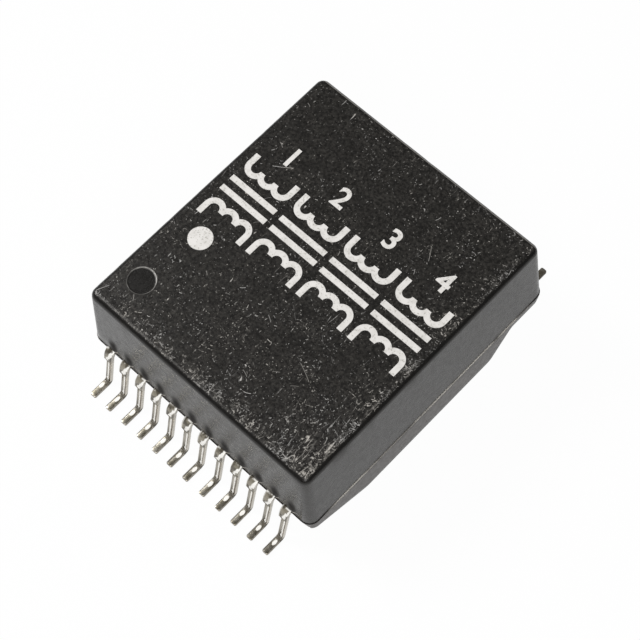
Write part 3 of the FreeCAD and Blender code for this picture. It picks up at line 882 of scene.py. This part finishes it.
def leads_tree():
    """Geometry nodes that sweep one lead's strip along its bent path and set out both rows."""
    tree = bpy.data.node_groups.new("gull_wing_leads", "GeometryNodeTree")
    tree.interface.new_socket("Leads", in_out="OUTPUT", socket_type="NodeSocketGeometry")
    sockets = [("Path", "Geometry"), *((name, "Float") for name in lead_sizes), ("Leads per row", "Int"),
               ("Plating", "Material")]
    for name, kind in sockets:
        tree.interface.new_socket(name, in_out="INPUT", socket_type="NodeSocket" + kind)
    given = add(tree, "NodeGroupInput").outputs

    path = add(tree, "GeometryNodeMeshToCurve", {"Mesh": given["Path"]})
    index = add(tree, "GeometryNodeInputIndex")
    first_bend = add(tree, "FunctionNodeCompare", {0: index, 1: 1}, data_type="INT", operation="EQUAL")
    bend = add(tree, "GeometryNodeSwitch", {"Switch": first_bend, "False": given["Lower bend radius"],
                                            "True": given["Upper bend radius"]}, input_type="FLOAT")
    bent = add(tree, "GeometryNodeFilletCurve", {"Curve": path, "Count": BEND_STEPS, "Radius": bend},
               mode="POLY")
    even = add(tree, "GeometryNodeResampleCurve", {"Curve": bent, "Length": given["Step"]}, mode="LENGTH")
    flat = add(tree, "GeometryNodeCurvePrimitiveQuadrilateral", {"Width": given["Strip width"],
                                                                 "Height": given["Strip thickness"]})
    section = add(tree, "GeometryNodeFilletCurve", {"Curve": flat, "Count": LEAD_EDGE_STEPS,
                                                    "Radius": given["Edge radius"]}, mode="POLY")
    upright = add(tree, "GeometryNodeSetCurveNormal", {"Curve": even}, mode="Z_UP")
    strip = add(tree, "GeometryNodeCurveToMesh", {"Curve": upright, "Profile Curve": section,
                                                  "Fill Caps": True})

    # The shoulder is wider on the left than the leg, down to the height where it ends
    place = add(tree, "GeometryNodeInputPosition")
    axes = add(tree, "SeparateXYZ", place).outputs
    above = add(tree, "SUBTRACT", axes["Z"], given["Shoulder end height"])
    wide = add(tree, "MapRange", {"Value": above, "From Min": -SHOULDER_STEP * MM,
                                  "From Max": SHOULDER_STEP * MM})
    on_left = add(tree, "LESS_THAN", axes["X"], 0.0)
    widened = add(tree, "MULTIPLY", wide, on_left)
    shift = add(tree, "MULTIPLY", widened, given["Shoulder extra"])
    leftwards = add(tree, "MULTIPLY", shift, -1.0)

    # The corners of the tip are rounded by drawing its sides in along a quarter circle
    from_tip = add(tree, "SUBTRACT", axes["Y"], given["Tip y"])
    into_tip = add(tree, "SUBTRACT", given["Tip radius"], from_tip)
    into_round = add(tree, "MAXIMUM", into_tip, 0.0)
    share = add(tree, "DIVIDE", into_round, given["Tip radius"])
    rest = add(tree, "SUBTRACT", 1.0, add(tree, "MULTIPLY", share, share))
    lost = add(tree, "SUBTRACT", 1.0, add(tree, "SQRT", rest))
    drawn_in = add(tree, "MULTIPLY", lost, given["Tip radius"])
    inwards = add(tree, "MULTIPLY", drawn_in, add(tree, "SIGN", axes["X"]))
    sideways = add(tree, "SUBTRACT", leftwards, inwards)
    offset = add(tree, "CombineXYZ", {"X": sideways})
    formed = add(tree, "GeometryNodeSetPosition", {"Geometry": strip, "Offset": offset})

    # Both rows, half a turn from each other, with each lead turned a very little its own way
    spacing = add(tree, "CombineXYZ", {"X": given["Pitch"]})
    gaps = add(tree, "SUBTRACT", given["Leads per row"], 1.0)
    span = add(tree, "MULTIPLY", gaps, given["Pitch"])
    left_end = add(tree, "MULTIPLY", span, -0.5)
    start = add(tree, "CombineXYZ", {"X": left_end})
    line = add(tree, "GeometryNodeMeshLine", {"Count": given["Leads per row"], "Start Location": start,
                                              "Offset": spacing}, mode="OFFSET")
    rows = []
    for turn, seed in ((0.0, 3), (math.pi, 8)):
        bent_by = add(tree, "FunctionNodeRandomValue", {"Min": -LEAD_TURN, "Max": LEAD_TURN, "Seed": seed},
                      data_type="FLOAT")
        turned = add(tree, "CombineXYZ", {"Z": bent_by})
        row = add(tree, "GeometryNodeInstanceOnPoints", {"Points": line, "Instance": formed,
                                                         "Rotation": turned})
        rows.append(add(tree, "GeometryNodeTransform", {"Geometry": row, "Rotation": (0.0, 0.0, turn)}))
    both = add(tree, "GeometryNodeJoinGeometry")
    for row in rows:
        tree.links.new(row.outputs[0], both.inputs[0])
    real = add(tree, "GeometryNodeRealizeInstances", {"Geometry": both})
    smooth = add(tree, "GeometryNodeSetShadeSmooth", {"Geometry": real})
    plated = add(tree, "GeometryNodeSetMaterial", {"Geometry": smooth, "Material": given["Plating"]})
    add(tree, "NodeGroupOutput", {"Leads": plated})
    return tree


def plain_mesh(maker):
    """The plain mesh that an object makes. The object itself is removed."""
    graph = bpy.context.evaluated_depsgraph_get()
    data = bpy.data.meshes.new_from_object(maker.evaluated_get(graph), depsgraph=graph)
    bpy.data.objects.remove(maker)
    return data


def grown(name, start_mesh, tree, values):
    """The plain mesh that a node tree makes from a starting mesh with these input values."""
    maker = put(name, start_mesh)
    modifier = maker.modifiers.new(name, "NODES")
    modifier.node_group = tree
    for item in tree.interface.items_tree:
        if item.in_out == "INPUT" and item.name in values:
            modifier[item.identifier] = values[item.name]
    data = plain_mesh(maker)
    data.name = name
    return data


def leads_mesh(material):
    """Both rows of leads."""
    half = LEAD_THICKNESS / 2
    path = bpy.data.meshes.new("lead_path")
    points = ((-half_width + LEAD_EMBEDDED, parting_z), (-shoulder_y, parting_z), (-heel_y, half),
              (foot_tip_y, half))
    path.from_pydata([(0.0, y * MM, z * MM) for y, z in points], [(0, 1), (1, 2), (2, 3)], [])
    values = {name: size * MM for name, size in lead_sizes.items()}
    values.update({"Leads per row": LEADS_PER_ROW, "Plating": material})
    return grown("leads", path, leads_tree(), values)


def number_mesh():
    """Plain channel numbers, one behind each winding symbol."""
    whole = bmesh.new()
    for number in range(CHANNELS):
        text = bpy.data.curves.new("number", "FONT")
        text.body = str(number + 1)
        text.align_x = "CENTER"
        text.size = NUMBER_HEIGHT * MM / CAPITAL_SHARE
        text.offset = STROKE_EXTRA * MM
        text.extrude = INK_THICKNESS * MM / 2
        text.resolution_u = 6
        flat = plain_mesh(put("number", text))
        x = (number - (CHANNELS - 1) / 2) * CHANNEL_PITCH
        y = NUMBER_Y - NUMBER_HEIGHT / 2
        flat.transform(Matrix.Translation(Vector((x, y, top_z + INK_THICKNESS / 2)) * MM))
        whole.from_mesh(flat)
        bpy.data.meshes.remove(flat)
    bmesh.ops.remove_doubles(whole, verts=whole.verts[:], dist=1e-7)
    data = bpy.data.meshes.new("channel_numbers")
    whole.to_mesh(data)
    whole.free()
    return data


def direction(azimuth, elevation):
    """Unit vector towards a place on the sky. Azimuth 0 is the front, -Y, and 90 the right, +X."""
    a, e = math.radians(azimuth), math.radians(elevation)
    return Vector((math.sin(a) * math.cos(e), -math.cos(a) * math.cos(e), math.sin(e)))


def make_camera():
    """The camera at the photograph's viewing angle."""
    aim = Vector(CAMERA_AIM) * MM
    away = direction(CAMERA_AZIMUTH, CAMERA_ELEVATION)
    roll = math.radians(CAMERA_ROLL)
    forward = -away
    level = forward.cross(Vector((0, 0, 1))).normalized()
    upward = level.cross(forward)
    right = level * math.cos(roll) - upward * math.sin(roll)
    up = right.cross(forward)
    camera = bpy.data.cameras.new("camera")
    camera.lens = CAMERA_LENS
    camera.sensor_width = 36.0
    camera.clip_start = 1 * MM
    camera.clip_end = 10.0
    holder = put("camera", camera)
    turn = Matrix((right, up, -forward)).transposed().to_4x4()
    holder.matrix_world = Matrix.Translation(aim + away * CAMERA_DISTANCE * MM) @ turn
    bpy.context.scene.camera = holder


def soft_light(name, azimuth, elevation, distance, size, power):
    """A square soft light that faces the middle of the object. Distance and size are in mm."""
    lamp = bpy.data.lights.new(name, "AREA")
    lamp.size = size * MM
    lamp.energy = power
    holder = put(name, lamp)
    away = direction(azimuth, elevation)
    holder.location = away * distance * MM
    holder.rotation_euler = away.to_track_quat("Z", "Y").to_euler()


def make_stage():
    """A white floor that fades into a white background, and keeps a soft shadow."""
    material, tree, shader = new_material("white_card")
    fill(shader, {"Base Color": "#f0f0f0", "Roughness": 1.0, "Specular IOR Level": 0.0})
    glow = add(tree, "Emission", {"Color": "#ffffff", "Strength": 1.0})
    rays = add(tree, "LightPath").outputs
    seen = all_of(rays["Is Camera Ray"], FLOOR_SEEN_WHITE)
    mirrored = any_of(rays["Is Glossy Ray"], rays["Is Transmission Ray"])
    share = add(tree, "MULTIPLY_ADD", mirrored, FLOOR_MIRRORED_WHITE, seen)
    mixed = add(tree, "MixShader", share, shader, glow)
    output = next(node for node in tree.nodes if node.bl_idname == "ShaderNodeOutputMaterial")
    fill(output, {"Surface": mixed})
    data = bpy.data.meshes.new("floor")
    corners = [(x * FLOOR_HALF, y * FLOOR_HALF, 0) for x, y in ((-1, -1), (1, -1), (1, 1), (-1, 1))]
    data.from_pydata(corners, [], [(0, 1, 2, 3)])
    data.materials.append(material)
    floor = put("floor", data)


def make_world():
    """Dim studio surroundings, shown white only behind the object."""
    world = bpy.data.worlds.new("studio")
    bpy.context.scene.world = world
    world.use_nodes = True
    tree = world.node_tree
    tree.nodes.clear()
    path = add(tree, "LightPath")
    dim = add(tree, "Background", {"Color": "#ffffff", "Strength": SURROUNDINGS})
    white = add(tree, "Background", {"Color": "#ffffff", "Strength": 1.0})
    mixed = add(tree, "MixShader", path.outputs["Is Camera Ray"], dim, white)
    add(tree, "OutputWorld", {"Surface": mixed})


moulding = moulding_compound()
plating = tin_plate()
ink = marking_ink()
core = ferrite()
wire = enamelled_wire()
lead_names = ["lead_" + str(number).zfill(2) for number in range(1, 2 * LEADS_PER_ROW + 1)]

show("moulding", moulding_mesh(), moulding, ["moulded_body"])
show("leads", leads_mesh(plating), plating, lead_names)
show("channel_numbers", number_mesh(), ink)

finishes = {"pin_1_dot": ink, "winding_symbols": ink, "transformer_core": core, "choke_core": core,
            "primary_winding": wire, "secondary_winding": wire, "choke_winding": wire}
for name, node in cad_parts.items():
    for start, finish in finishes.items():
        if name.startswith(start):
            node.data.materials.clear()
            node.data.materials.append(finish)

make_camera()
make_stage()
make_world()
for light in LIGHTS:
    soft_light(*light)
bpy.context.scene.view_settings.view_transform = "Standard"
